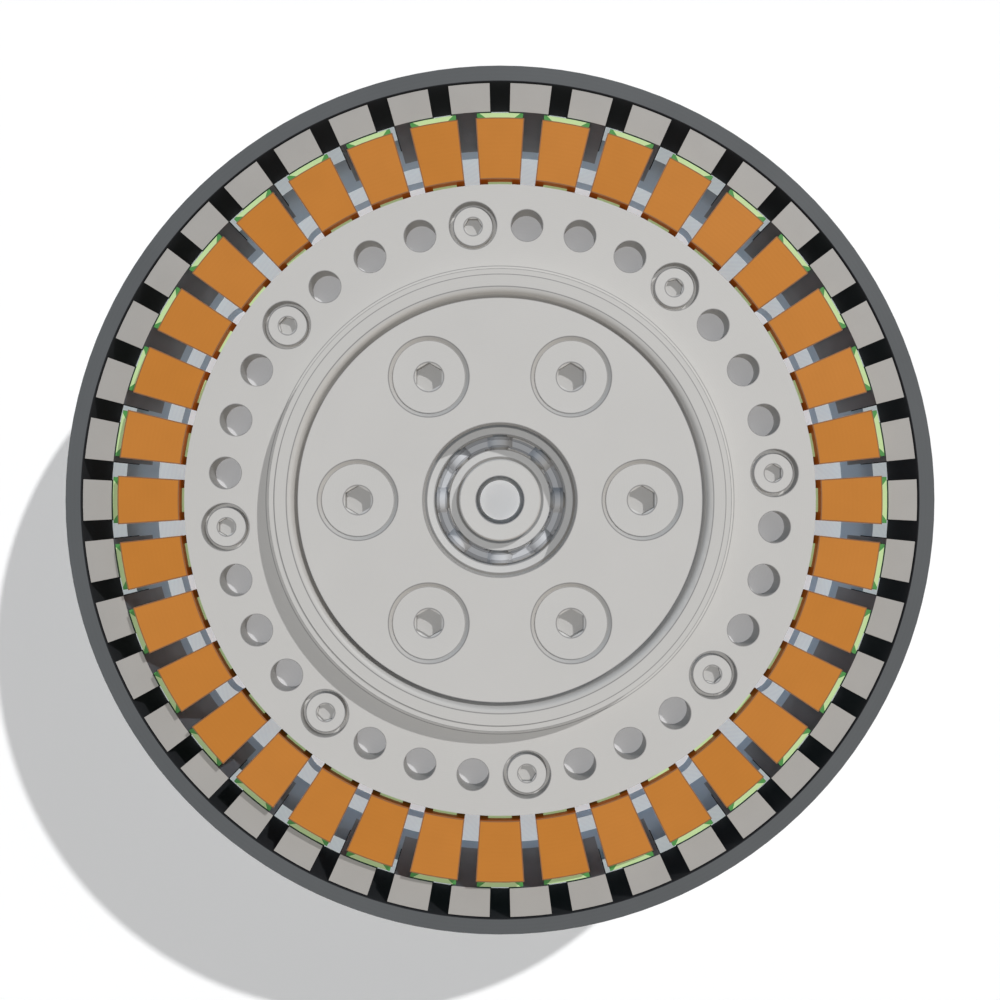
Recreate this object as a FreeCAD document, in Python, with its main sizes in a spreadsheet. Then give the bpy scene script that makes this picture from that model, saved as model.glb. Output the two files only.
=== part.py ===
import FreeCAD, Part
import Sketcher
import math
import os
import re

# Open-frame outrunner motor with a planetary reducer inside its stator.
# Z is the shaft axis. The back of the rotor lies on z = 0 and the output face looks along +Z.
# All sizes are in millimetres.

doc = FreeCAD.newDocument("rotary_actuator")
sheet = doc.addObject("Spreadsheet::Sheet", "Sizes")

SIZES = {
    # rotor
    "rotor_radius": 64.0,
    "rotor_height": 36.0,
    "ring_wall": 2.3,
    "floor_thickness": 4.0,
    "cup_wall": 2.25,
    "cup_height": 21.9,
    "window_rim": 2.5,
    "window_inner_radius": 27.5,
    "spoke_width": 12.0,
    "window_corner": 4.0,
    "magnet_seat": 15.7,
    "magnet_length": 20.1,
    "magnet_arc": 5.7,
    "magnet_thickness": 4.2,
    "magnet_back_gap": 0.2,
    "magnet_side_gap": 0.15,
    "rotor_screw_circle": 16.5,
    # stator
    "air_gap": 0.4,
    "stack_length": 22.0,
    "stack_seat": 14.4,
    "hub_wall": 4.3,
    "yoke_wall": 2.0,
    "tooth_width": 3.5,
    "shoe_width": 6.8,
    "shoe_edge": 0.4,
    "shoe_flare": 3.0,
    "coil_foot_gap": 0.95,
    "coil_tip_gap": 1.2,
    "coil_arc": 7.3,
    "end_turn": 1.7,
    # front plate
    "plate_edge": 5.8,
    "plate_thickness": 4.0,
    "plate_rim": 2.4,
    "boss_wall": 3.6,
    "boss_height": 3.4,
    "boss_rim_width": 0.85,
    "boss_rim_depth": 0.2,
    "boss_bore_round": 1.0,
    "boss_foot_width": 0.9,
    "boss_foot_height": 0.3,
    "lip_depth": 4.0,
    "lip_catch": 3.1,
    "flange_bolt_radius": 40.0,
    "mount_hole_radius": 2.3,
    "plate_screw_head_radius": 2.95,
    "plate_screw_head_height": 1.4,
    "plate_screw_recess": 0.7,
    "screw_head_chamfer": 0.1,
    "plate_screw_radius": 1.5,
    "plate_screw_length": 10.0,
    "plate_screw_key": 2.3,
    "plate_counterbore_radius": 3.45,
    "socket_bevel_radius_ratio": 0.59,
    # gear train
    "screw_web": 0.8125,
    "gear_backlash": 0.06,
    "planet_face": 10.0,
    "planet_side_gap": 0.3,
    "ring_gear_wall": 3.0,
    "ring_gear_shoulder": 1.7,
    "retainer_thickness": 1.2,
    "retainer_catch": 1.9,
    "pin_radius": 5.0,
    "bush_wall": 1.95,
    "bush_gap": 0.05,
    "post_radius": 5.2,
    "carrier_rim": 2.75,
    "carrier_plate_thickness": 4.0,
    # output
    "output_gap": 0.6,
    "output_thickness": 3.0,
    "output_shoulder_rise": 1.6,
    "output_screw_head_radius": 5.2,
    "output_screw_radius": 2.5,
    "output_screw_gap": 0.25,
    "output_screw_recess": 0.35,
    "output_screw_length": 20.0,
    "output_screw_key": 3.6,
    "countersink_radius": 5.75,
    "circlip_depth": 1.4,
    "circlip_thickness": 1.2,
    "circlip_rise": 1.8,
    # shaft
    "shaft_bore_radius": 3.5,
    "shaft_flange_radius": 21.0,
    "shaft_flange_thickness": 2.5,
    "shaft_end_recess": 0.3,
    "shaft_end_rise": 1.8,
    "shaft_end_chamfer": 0.25,
    "shaft_clearance": 0.8,
    "shaft_wall": 3.1,
    "shaft_neck_gap": 0.1125,
    # bearings
    "output_neck_wall": 4.75,
    "output_bearing_section": 7.5,
    "output_bearing_width": 7.0,
    "output_ball_radius": 2.2,
    "centre_bearing_bore": 6.0,
    "centre_bearing_outer": 11.0,
    "centre_bearing_width": 5.0,
    "centre_bearing_recess": 5.0,
    "centre_ball_radius": 1.5,
    "rear_bearing_bore": 7.5,
    "rear_bearing_outer": 12.0,
    "rear_bearing_width": 5.0,
    "rear_bearing_seat": 8.3,
    "rear_ball_radius": 1.4,
    "ball_gap": 0.04,
    "bearing_lip": 1.1,
    "race_chamfer": 0.3,
    "cage_sheet": 0.3,
}

for row, (name, value) in enumerate(SIZES.items(), 1):
    sheet.set("A%d" % row, name)
    sheet.set("B%d" % row, str(value))
    sheet.setAlias("B%d" % row, name)
doc.recompute()

MAGNETS = 42
TEETH = 36
SPOKES = 8
PHASES = 3
FLANGE_SCREWS = 8
FLANGE_PLACES = 32
FLANGE_TURN = 5.625
OUTPUT_SCREWS = 6
OUTPUT_BALLS = 16
CENTRE_BALLS = 8
REAR_BALLS = 9
ROTOR_SCREWS = 6
PLANETS = 3
SUN_TEETH = 18
PLANET_TEETH = 36
RING_TEETH = SUN_TEETH + 2 * PLANET_TEETH
PRESSURE_ANGLE = math.radians(20.0)
AXIS_LOW = 1.0
AXIS_HIGH = 9.0
ROOT_DEPTH = 1.25
TIP_HEIGHT = 0.93
PLATE_SOCKET_LEAN = 30.0 - FLANGE_TURN
OUTPUT_SOCKET_LEAN = 30.0

# Heights and radii that several pieces share, written as expressions of the sizes.
STACK_TOP = "(stack_seat + stack_length)"
PLATE_TOP = "(%s + plate_rim)" % STACK_TOP
HUB_TOP = "(%s - plate_thickness)" % PLATE_TOP
BOSS_TOP = "(%s + boss_height)" % PLATE_TOP
BEARING_TOP = "(%s - lip_depth)" % BOSS_TOP
BEARING_FOOT = "(%s - output_bearing_width)" % BEARING_TOP
RING_TOP = "(%s - retainer_thickness)" % BEARING_FOOT
OUTPUT_FOOT = "(%s - circlip_thickness - 0.7)" % BEARING_FOOT
PLANET_TOP = "(%s - planet_side_gap)" % OUTPUT_FOOT
PLANET_FOOT = "(%s - planet_face)" % PLANET_TOP
CARRIER_TOP = "(%s - planet_side_gap)" % PLANET_FOOT
CARRIER_FOOT = "(%s - carrier_plate_thickness)" % CARRIER_TOP
RING_FOOT = "(%s - 1)" % PLANET_FOOT
CENTRE_TOP = "(%s - centre_bearing_recess)" % BOSS_TOP
CENTRE_FOOT = "(%s - centre_bearing_width)" % CENTRE_TOP
SHAFT_TOP = "(%s + shaft_end_rise)" % CENTRE_TOP
CUP_OUTER = "(rotor_radius - ring_wall)"
CUP_INNER = "(rotor_radius - ring_wall - cup_wall)"
CUP_BORE = "(shaft_bore_radius + shaft_wall)"
WINDOW_OUTER = "(%s - window_rim)" % CUP_INNER
MAGNET_OUTER = "(%s - magnet_back_gap)" % CUP_OUTER
MAGNET_INNER = "(%s - magnet_thickness)" % MAGNET_OUTER
TIP_RADIUS = "(%s - air_gap)" % MAGNET_INNER
COIL_OUTER = "(%s - coil_tip_gap)" % TIP_RADIUS
PLATE_RADIUS = "(flange_bolt_radius + plate_edge)"
COIL_INNER = "(%s + coil_foot_gap)" % PLATE_RADIUS
YOKE_BORE = "(flange_bolt_radius + hub_wall)"
YOKE_OUTER = "(%s + yoke_wall)" % YOKE_BORE
RING_OUTER = "(flange_bolt_radius - plate_screw_radius - screw_web)"
GEAR_MODULE = "((%s - ring_gear_wall) / %s)" % (RING_OUTER, RING_TEETH / 2 + ROOT_DEPTH)
CENTRES = "(%s * %d)" % (GEAR_MODULE, (SUN_TEETH + PLANET_TEETH) // 2)
SHAFT_NECK = "(%s * %s - shaft_neck_gap)" % (GEAR_MODULE, SUN_TEETH / 2 - ROOT_DEPTH)
CARRIER_RADIUS = "(%s + pin_radius + carrier_rim)" % CENTRES
OUTPUT_BORE = "(%s + output_neck_wall)" % CENTRES
OUTPUT_OUTER = "(%s + output_bearing_section)" % OUTPUT_BORE
OUTPUT_SHOULDER = "(%s + output_shoulder_rise)" % OUTPUT_BORE
RETAINER_BORE = "(%s - retainer_catch)" % OUTPUT_OUTER
BOSS_BORE = "(%s - lip_catch)" % OUTPUT_OUTER
BOSS_RADIUS = "(%s + boss_wall)" % BOSS_BORE
OUTPUT_RADIUS = "(%s - output_gap)" % BOSS_BORE

WORD = re.compile(r"[a-z]+(?:_[a-z]+)+")


def bind(text):
    """The same expression with every size named through the sheet."""
    return WORD.sub(lambda m: "Sizes." + m.group(0) if m.group(0) in SIZES else m.group(0), str(text))


def number(text):
    """The present value of an expression."""
    found = sheet.evalExpression(bind(text))
    return float(getattr(found, "Value", found))


def plane(body, role):
    """One of a body's own origin planes or axes."""
    return [item for item in body.Origin.OriginFeatures if item.Role == role][0]


def new_body(label):
    body = doc.addObject("PartDesign::Body", label)
    body.Label = label
    body.AllowCompound = True
    return body


def hold(sketch, index, point, kind, text):
    """Ties one coordinate of a point to an expression, or to an axis where it is zero."""
    value = number(text)
    if abs(value) < 1e-9:
        axis = -2 if kind == "DistanceX" else -1
        sketch.addConstraint(Sketcher.Constraint("PointOnObject", index, point, axis))
        return
    held = sketch.addConstraint(Sketcher.Constraint(kind, -1, 1, index, point, value))
    sketch.setExpression("Constraints[%d]" % held, bind(text))


def draw(sketch, outline):
    """A closed outline. An entry is (x, y), or (x, y, cx, cy) with an arc about (cx, cy) to the next one.

    No arc is longer than half a turn, and a half turn bulges towards +x. Where an arc ends, its radius
    already fixes one coordinate, so only the other one is tied.
    """
    spots = [FreeCAD.Vector(number(entry[0]), number(entry[1]), 0) for entry in outline]
    ends = []
    for place, entry in enumerate(outline):
        first = spots[place]
        last = spots[(place + 1) % len(spots)]
        if len(entry) == 2:
            sketch.addGeometry(Part.LineSegment(first, last), False)
            ends.append((1, 2))
            continue
        centre = FreeCAD.Vector(number(entry[2]), number(entry[3]), 0)
        begin = math.atan2(first.y - centre.y, first.x - centre.x)
        finish = math.atan2(last.y - centre.y, last.x - centre.x)
        sweep = (finish - begin) % (2 * math.pi)
        ordered = sweep < math.pi + 1e-6
        ends.append((1, 2) if ordered else (2, 1))
        whole = Part.Circle(centre, FreeCAD.Vector(0, 0, 1), first.distanceToPoint(centre))
        if ordered:
            sketch.addGeometry(Part.ArcOfCircle(whole, begin, begin + sweep), False)
        else:
            sketch.addGeometry(Part.ArcOfCircle(whole, finish, finish + 2 * math.pi - sweep), False)
    base = len(sketch.Geometry) - len(outline)
    for place in range(len(outline)):
        following = (place + 1) % len(outline)
        sketch.addConstraint(Sketcher.Constraint(
            "Coincident", base + place, ends[place][1], base + following, ends[following][0]))
    for place, entry in enumerate(outline):
        before = outline[place - 1]
        left_free = None
        if len(before) > 2:
            aside = abs(spots[place].x - number(before[2]))
            above = abs(spots[place].y - number(before[3]))
            left_free = "DistanceX" if aside > above else "DistanceY"
        for kind, text in (("DistanceX", entry[0]), ("DistanceY", entry[1])):
            if kind != left_free:
                hold(sketch, base + place, ends[place][0], kind, text)
        if len(entry) > 2:
            hold(sketch, base + place, 3, "DistanceX", entry[2])
            hold(sketch, base + place, 3, "DistanceY", entry[3])


def circle(sketch, across, up, radius):
    """A full circle with its centre on the sketch's x axis or off it."""
    index = sketch.addGeometry(Part.Circle(
        FreeCAD.Vector(number(across), number(up), 0), FreeCAD.Vector(0, 0, 1), number(radius)), False)
    held = sketch.addConstraint(Sketcher.Constraint("Radius", index, number(radius)))
    sketch.setExpression("Constraints[%d]" % held, bind(radius))
    hold(sketch, index, 3, "DistanceX", across)
    hold(sketch, index, 3, "DistanceY", up)


def new_sketch(body, name, role, height=None):
    """A sketch on an origin plane, raised by an expression where one is given."""
    sketch = body.newObject("Sketcher::SketchObject", name)
    sketch.AttachmentSupport = (plane(body, role), [""])
    sketch.MapMode = "FlatFace"
    if height is not None:
        sketch.setExpression(".AttachmentOffset.Base.z", bind(height))
    return sketch


def turn(body, name, outline, kind="PartDesign::Revolution", across=None):
    """A section of (radius, height) points turned about Z, or about a parallel line at x = across."""
    sketch = new_sketch(body, name + "_section", "XZ_Plane")
    draw(sketch, outline)
    axis = "V_Axis"
    if across is not None:
        x = number(across)
        index = sketch.addGeometry(Part.LineSegment(
            FreeCAD.Vector(x, AXIS_LOW, 0), FreeCAD.Vector(x, AXIS_HIGH, 0)), True)
        sketch.addConstraint(Sketcher.Constraint("Vertical", index))
        for point, value in ((1, AXIS_LOW), (2, AXIS_HIGH)):
            sketch.addConstraint(Sketcher.Constraint("DistanceY", -1, 1, index, point, value))
        held = sketch.addConstraint(Sketcher.Constraint("DistanceX", -1, 1, index, 1, x))
        sketch.setExpression("Constraints[%d]" % held, bind(across))
        axis = "Axis0"
    feature = body.newObject(kind, name)
    feature.Profile = sketch
    feature.ReferenceAxis = (sketch, [axis])
    feature.Angle = 360
    sketch.Visibility = False
    doc.recompute()
    return feature


def pad(body, name, height, length, outline=None, circles=(), role="XY_Plane"):
    """A prism that rises from a height above an origin plane."""
    sketch = new_sketch(body, name + "_outline", role, height)
    if outline:
        draw(sketch, outline)
    for spot in circles:
        circle(sketch, *spot)
    feature = body.newObject("PartDesign::Pad", name)
    feature.Profile = sketch
    feature.setExpression("Length", bind(length))
    doc.recompute()
    return feature


def cut(body, name, height, depth, outline=None, circles=(), role="XY_Plane"):
    """A pocket that goes down from a height above an origin plane."""
    sketch = new_sketch(body, name + "_outline", role, height)
    if outline:
        draw(sketch, outline)
    for spot in circles:
        circle(sketch, *spot)
    feature = body.newObject("PartDesign::Pocket", name)
    feature.Profile = sketch
    feature.setExpression("Length", bind(depth))
    doc.recompute()
    return feature


def repeat(body, name, features, count):
    """Even copies of some features about Z."""
    pattern = body.newObject("PartDesign::PolarPattern", name)
    pattern.Originals = features
    pattern.Axis = (plane(body, "Z_Axis"), [""])
    pattern.Angle = 360
    pattern.Occurrences = count
    body.Tip = pattern
    doc.recompute()
    return pattern


def spin(thing, angle):
    """Turns a finished piece about Z."""
    thing.Placement = FreeCAD.Placement(
        FreeCAD.Vector(0, 0, 0), FreeCAD.Rotation(FreeCAD.Vector(0, 0, 1), angle))


def hexagon(across, flats, lean=0.0):
    """The six corners of a hexagon about a point on the x axis."""
    corners = []
    for place in range(6):
        angle = math.radians(60 * place + lean)
        x = math.cos(angle) / math.sqrt(3)
        y = math.sin(angle) / math.sqrt(3)
        corners.append(("%s + %s * %.9f" % (across, flats, x), "%s * %.9f" % (flats, y)))
    return corners


def sector(inner, outer, half):
    """Part of a flat ring, to both sides of the x axis by an angle."""
    low = ("%s * cos(%s)" % (inner, half), "%s * sin(%s)" % (inner, half))
    high = ("%s * cos(%s)" % (outer, half), "%s * sin(%s)" % (outer, half))
    return [
        (low[0], "-" + low[1]),
        (high[0], "-" + high[1], "0", "0"),
        high,
        low + ("0", "0"),
    ]


def tooth_outline(foot):
    """One stator tooth along +X: a straight neck, two sloping flares and a rounded tip."""
    half = "tooth_width / 2"
    wide = "shoe_width / 2"
    end = "sqrt(%s^2 - (shoe_width / 2)^2)" % TIP_RADIUS
    corner = "%s - shoe_edge" % end
    start = "%s - shoe_flare" % corner
    return [
        (foot, "-" + half),
        (start, "-" + half),
        (corner, "-" + wide),
        (end, "-" + wide, "0", "0"),
        (end, wide),
        (corner, wide),
        (start, half),
        (foot, half),
    ]


def race(body, name, bore, outer, foot, width, ball, which):
    """One ring of a ball bearing, with a groove for its balls and broken edges away from them."""
    middle = "(%s + %s / 2)" % (foot, width)
    top = "(%s + %s)" % (foot, width)
    pitch = "((%s + %s) / 2)" % (bore, outer)
    groove = "(%s + ball_gap)" % ball
    shoulder = "(%s * 0.72)" % ball
    reach = "sqrt(%s^2 - %s^2)" % (groove, shoulder)
    if which == "outer":
        face = "(%s + %s)" % (pitch, shoulder)
        edge = "(%s - race_chamfer)" % outer
        outline = [
            (edge, foot), (outer, "%s + race_chamfer" % foot),
            (outer, "%s - race_chamfer" % top), (edge, top), (face, top),
            (face, "%s + %s" % (middle, reach), pitch, middle),
            (face, "%s - %s" % (middle, reach)), (face, foot),
        ]
    else:
        face = "(%s - %s)" % (pitch, shoulder)
        edge = "(%s + race_chamfer)" % bore
        outline = [
            (edge, foot), (face, foot),
            (face, "%s - %s" % (middle, reach), pitch, middle),
            (face, "%s + %s" % (middle, reach)), (face, top), (edge, top),
            (bore, "%s - race_chamfer" % top), (bore, "%s + race_chamfer" % foot),
        ]
    return turn(body, name, outline)


def balls(body, name, bore, outer, foot, width, ball, count):
    """A ring of balls between the two races."""
    middle = "(%s + %s / 2)" % (foot, width)
    pitch = "((%s + %s) / 2)" % (bore, outer)
    ball_turn = turn(body, name, [
        (pitch, "%s - %s" % (middle, ball), pitch, middle),
        (pitch, "%s + %s" % (middle, ball)),
    ], across=pitch)
    repeat(body, name + "_ring", [ball_turn], count)


def cage(body, name, bore, outer, foot, width, ball, count):
    """A pressed ribbon between the races, bent into a short radial tube around each ball."""
    middle = "(%s + %s / 2)" % (foot, width)
    pitch = "((%s + %s) / 2)" % (bore, outer)
    pocket = "(%s + 2 * ball_gap)" % ball
    inner = "(%s - %s / 2)" % (pitch, ball)
    rim = "(%s + %s / 2)" % (pitch, ball)
    low = "%s - cage_sheet" % middle
    high = "%s + cage_sheet" % middle
    turn(body, name, [(inner, low), (rim, low), (rim, high), (inner, high)])
    tube = pad(body, name + "_tube", inner, ball, role="YZ_Plane",
               circles=[("0", middle, "%s + cage_sheet" % pocket)])
    hole = cut(body, name + "_pocket", "%s + 1" % rim, "%s + 2" % ball, role="YZ_Plane",
               circles=[("0", middle, pocket)])
    repeat(body, name + "_ring", [tube, hole], count)


def involute(angle):
    return math.tan(angle) - angle


def gear_face(teeth, inner, outer, thin, phase):
    """A flat gear outline with a tooth centred on the angle phase. Each flank is one arc."""
    module = number(GEAR_MODULE)
    pitch_radius = module * teeth / 2
    base = pitch_radius * math.cos(PRESSURE_ANGLE)
    half = math.pi / (2 * teeth) - thin / (2 * pitch_radius) + involute(PRESSURE_ANGLE)

    def lean(radius):
        return half - involute(math.acos(min(1.0, base / radius)))

    def spot(radius, angle):
        return FreeCAD.Vector(radius * math.cos(angle), radius * math.sin(angle), 0)

    low = max(inner, base)
    mid = (low + outer) / 2
    edges = []
    step = 2 * math.pi / teeth
    for place in range(teeth):
        middle = phase + place * step
        rise = [spot(r, middle - lean(r)) for r in (low, mid, outer)]
        fall = [spot(r, middle + lean(r)) for r in (outer, mid, low)]
        foot = spot(inner, middle - lean(low))
        end = spot(inner, middle + lean(low))
        following = spot(inner, middle + step - lean(low))
        if foot.distanceToPoint(rise[0]) > 1e-6:
            edges.append(Part.LineSegment(foot, rise[0]).toShape())
        edges.append(Part.Arc(*rise).toShape())
        edges.append(Part.Arc(rise[2], spot(outer, middle), fall[0]).toShape())
        edges.append(Part.Arc(*fall).toShape())
        if end.distanceToPoint(fall[2]) > 1e-6:
            edges.append(Part.LineSegment(fall[2], end).toShape())
        edges.append(Part.Arc(end, spot(inner, middle + step / 2), following).toShape())
    return Part.Face(Part.Wire(edges))


def feature(label, shape):
    thing = doc.addObject("Part::Feature", label)
    thing.Label = label
    thing.Shape = shape
    return thing


nodes = []

# The cup that carries the magnets: a spoked floor and a wall whose upper half is a comb.
body = new_body("rotor_cup")
turn(body, "cup_turn", [
    (CUP_BORE, "0"),
    ("rotor_radius", "0"),
    ("rotor_radius", "floor_thickness"),
    (CUP_OUTER, "floor_thickness"),
    (CUP_OUTER, "cup_height"),
    (CUP_INNER, "cup_height"),
    (CUP_INNER, "floor_thickness"),
    (CUP_BORE, "floor_thickness"),
])
half_turn = 180.0 / SPOKES
corners = []
for radius, sign in (("window_inner_radius", "-"), (WINDOW_OUTER, "-"),
                     (WINDOW_OUTER, ""), ("window_inner_radius", "")):
    angle = "(%s deg - asin(spoke_width / 2 / %s))" % (half_turn, radius)
    corners.append(("%s * cos(%s)" % (radius, angle), "%s%s * sin(%s)" % (sign, radius, angle)))
window = cut(body, "window", "floor_thickness", "floor_thickness", [
    corners[0],
    corners[1] + ("0", "0"),
    corners[2],
    corners[3] + ("0", "0"),
])
window.Profile[0].AttachmentOffset = FreeCAD.Placement(
    window.Profile[0].AttachmentOffset.Base,
    FreeCAD.Rotation(FreeCAD.Vector(0, 0, 1), half_turn))
repeat(body, "windows", [window], SPOKES)
upright = []
for index, edge in enumerate(body.Tip.Shape.Edges, 1):
    low, high = edge.Vertexes[0].Point, edge.Vertexes[-1].Point
    flat = math.hypot(low.x - high.x, low.y - high.y)
    inside = math.hypot(low.x, low.y) < number(WINDOW_OUTER) + 0.01
    if flat < 1e-6 and abs(low.z - high.z) > 1 and len(edge.Vertexes) == 2 and inside \
            and math.hypot(low.x, low.y) > number("window_inner_radius") - 0.01:
        upright.append("Edge%d" % index)
rounds = body.newObject("PartDesign::Fillet", "window_rounds")
rounds.Base = (body.getObject("windows"), upright)
rounds.setExpression("Radius", bind("window_corner"))
doc.recompute()
slot_turn = "(magnet_arc / 2 * 1 deg + asin(magnet_side_gap / %s))" % CUP_INNER
slot = cut(body, "magnet_slot", "cup_height", "cup_height - magnet_seat",
           sector("(%s - 1)" % CUP_INNER, "(%s + 1)" % CUP_OUTER, slot_turn))
repeat(body, "magnet_slots", [slot], MAGNETS)
screw_hole = cut(body, "rotor_screw_hole", "floor_thickness", "floor_thickness",
                 circles=[("rotor_screw_circle", "0", "plate_screw_radius + 0.2")])
repeat(body, "rotor_screw_holes", [screw_hole], ROTOR_SCREWS)
head_seat = cut(body, "rotor_screw_seat", "floor_thickness / 2", "floor_thickness / 2",
                circles=[("rotor_screw_circle", "0", "plate_counterbore_radius")])
repeat(body, "rotor_screw_seats", [head_seat], ROTOR_SCREWS)
nodes.append(body)

# The steel ring that closes the flux behind the magnets.
body = new_body("flux_ring")
turn(body, "flux_turn", [
    (CUP_OUTER, "floor_thickness"),
    ("rotor_radius", "floor_thickness"),
    ("rotor_radius", "rotor_height"),
    (CUP_OUTER, "rotor_height"),
])
nodes.append(body)

# Arc magnets, alternately poled, standing on the floors of the comb's slots.
for label, lean in (("magnets_north", 0.0), ("magnets_south", 360.0 / MAGNETS)):
    body = new_body(label)
    block = pad(body, label + "_block", "magnet_seat", "magnet_length",
                sector(MAGNET_INNER, MAGNET_OUTER, "(magnet_arc / 2 * 1 deg)"))
    repeat(body, label + "_ring", [block], MAGNETS // 2)
    spin(body, lean)
    nodes.append(body)

# The hollow motor shaft with its bolted flange, bearing journals and sun pinion in one piece.
shaft = new_body("shaft_blank")
turn(shaft, "shaft_turn", [
    ("shaft_bore_radius", "shaft_end_recess"),
    (CUP_BORE, "shaft_end_recess"),
    (CUP_BORE, "floor_thickness"),
    ("shaft_flange_radius", "floor_thickness"),
    ("shaft_flange_radius", "floor_thickness + shaft_flange_thickness"),
    ("rear_bearing_bore + 1.3", "floor_thickness + shaft_flange_thickness"),
    ("rear_bearing_bore + 1.3", "rear_bearing_seat"),
    ("rear_bearing_bore", "rear_bearing_seat"),
    ("rear_bearing_bore", "rear_bearing_seat + rear_bearing_width"),
    (SHAFT_NECK, "rear_bearing_seat + rear_bearing_width"),
    (SHAFT_NECK, "%s + 1" % OUTPUT_FOOT),
    ("centre_bearing_bore + 0.6", "%s + 1" % OUTPUT_FOOT),
    ("centre_bearing_bore + 0.6", CENTRE_FOOT),
    ("centre_bearing_bore", CENTRE_FOOT),
    ("centre_bearing_bore", "%s - shaft_end_chamfer" % SHAFT_TOP),
    ("centre_bearing_bore - shaft_end_chamfer", SHAFT_TOP),
    ("shaft_bore_radius", SHAFT_TOP),
])
tapped = cut(shaft, "shaft_tapping", "floor_thickness + shaft_flange_thickness", "shaft_flange_thickness",
             circles=[("rotor_screw_circle", "0", "plate_screw_radius")])
repeat(shaft, "shaft_tappings", [tapped], ROTOR_SCREWS)
module = number(GEAR_MODULE)
sun_pitch = module * SUN_TEETH / 2
sun_face = gear_face(SUN_TEETH, sun_pitch - ROOT_DEPTH * module, sun_pitch + TIP_HEIGHT * module,
                     number("gear_backlash"), 0.0)
sun_length = number(OUTPUT_FOOT) - number(CARRIER_TOP)
pinion_shape = sun_face.extrude(FreeCAD.Vector(0, 0, sun_length)).cut(
    Part.makeCylinder(number("shaft_bore_radius"), sun_length))
pinion = feature("sun_pinion", pinion_shape)
pinion.Placement = FreeCAD.Placement(FreeCAD.Vector(0, 0, number(CARRIER_TOP)), FreeCAD.Rotation())
fused = doc.addObject("Part::Fuse", "sun_shaft")
fused.Label = "sun_shaft"
fused.Base = shaft
fused.Tool = pinion
doc.recompute()
nodes.append(fused)

# Low cylinder-headed screws with hexagon sockets, shared by the plate and the rotor.
def low_screws(label, circle_radius, top, length, count, facing, lean):
    """A ring of screws whose heads look along +Z (facing 1) or -Z (facing -1)."""
    into = "-" if facing > 0 else "+"
    body = new_body(label)
    foot = "%s %s plate_screw_head_height" % (top, into)
    tip = "%s %s %s" % (foot, into, length)
    stem = turn(body, label + "_stem", [
        (circle_radius, top),
        ("%s + plate_screw_head_radius - screw_head_chamfer" % circle_radius, top),
        ("%s + plate_screw_head_radius" % circle_radius, "%s %s screw_head_chamfer" % (top, into)),
        ("%s + plate_screw_head_radius" % circle_radius, foot),
        ("%s + plate_screw_radius" % circle_radius, foot),
        ("%s + plate_screw_radius" % circle_radius, tip),
        (circle_radius, tip),
    ], across=circle_radius)
    socket_top = top if facing > 0 else "%s + plate_screw_key / 2" % top
    socket = cut(body, label + "_socket", socket_top, "plate_screw_key / 2",
                 hexagon(circle_radius, "plate_screw_key", lean))
    bevel = [
        (circle_radius, top),
        ("%s + socket_bevel_radius_ratio * plate_screw_key" % circle_radius, top),
        (circle_radius, "%s %s socket_bevel_radius_ratio * plate_screw_key * 0.5" % (top, into)),
    ]
    rim = turn(body, label + "_bevel", bevel, kind="PartDesign::Groove", across=circle_radius)
    repeat(body, label + "_ring", [stem, socket, rim], count)
    return body


plate_screw_top = "(%s - plate_screw_recess)" % PLATE_TOP
body = low_screws("plate_screws", "flange_bolt_radius", plate_screw_top, "plate_screw_length",
                  FLANGE_SCREWS, 1, PLATE_SOCKET_LEAN)
spin(body, FLANGE_TURN)
nodes.append(body)
body = low_screws("rotor_screws", "rotor_screw_circle", "(floor_thickness / 2 - plate_screw_head_height)",
                  "floor_thickness / 2 + shaft_flange_thickness", ROTOR_SCREWS, -1, 0.0)
nodes.append(body)

# The laminated stator: a thin yoke and thirty-six teeth with flared shoes.
body = new_body("stator_core")
pad(body, "yoke", "stack_seat", "stack_length",
    circles=[("0", "0", YOKE_OUTER), ("0", "0", YOKE_BORE)])
tooth = pad(body, "tooth", "stack_seat", "stack_length", tooth_outline("%s + yoke_wall / 2" % YOKE_BORE))
repeat(body, "teeth", [tooth], TEETH)
nodes.append(body)

# Concentrated windings, one on every tooth, in three phase groups.
coil_turn = "(coil_arc / 2 * 1 deg)"
for phase in range(PHASES):
    label = "coils_" + "abc"[phase]
    body = new_body(label)
    block = pad(body, label + "_block", "stack_seat - end_turn", "stack_length + 2 * end_turn",
                sector(COIL_INNER, COIL_OUTER, coil_turn))
    core = cut(body, label + "_core", STACK_TOP, "stack_length", tooth_outline(YOKE_BORE))
    repeat(body, label + "_ring", [block, core], TEETH // PHASES)
    spin(body, 360.0 / TEETH * phase)
    nodes.append(body)

# The tube inside the stator stack. Its web carries the rear bearing and its bore the ring gear.
body = new_body("stator_hub")
turn(body, "hub_turn", [
    ("rear_bearing_outer - bearing_lip", "rear_bearing_seat - 1"),
    ("rear_bearing_outer + 3.5", "rear_bearing_seat - 1"),
    ("rear_bearing_outer + 4.5", "rear_bearing_seat"),
    ("%s - 2" % COIL_INNER, "rear_bearing_seat"),
    ("%s - 0.95" % COIL_INNER, "rear_bearing_seat + 1.05"),
    ("%s - 0.95" % COIL_INNER, "stack_seat"),
    (YOKE_BORE, "stack_seat"),
    (YOKE_BORE, HUB_TOP),
    (RING_OUTER, HUB_TOP),
    (RING_OUTER, RING_FOOT),
    ("%s - ring_gear_shoulder" % RING_OUTER, RING_FOOT),
    ("%s - ring_gear_shoulder" % RING_OUTER, "rear_bearing_seat + 3"),
    ("rear_bearing_outer + 3.5", "rear_bearing_seat + 3"),
    ("rear_bearing_outer + 3.5", "rear_bearing_seat + rear_bearing_width"),
    ("rear_bearing_outer", "rear_bearing_seat + rear_bearing_width"),
    ("rear_bearing_outer", "rear_bearing_seat"),
    ("rear_bearing_outer - bearing_lip", "rear_bearing_seat"),
])
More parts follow.
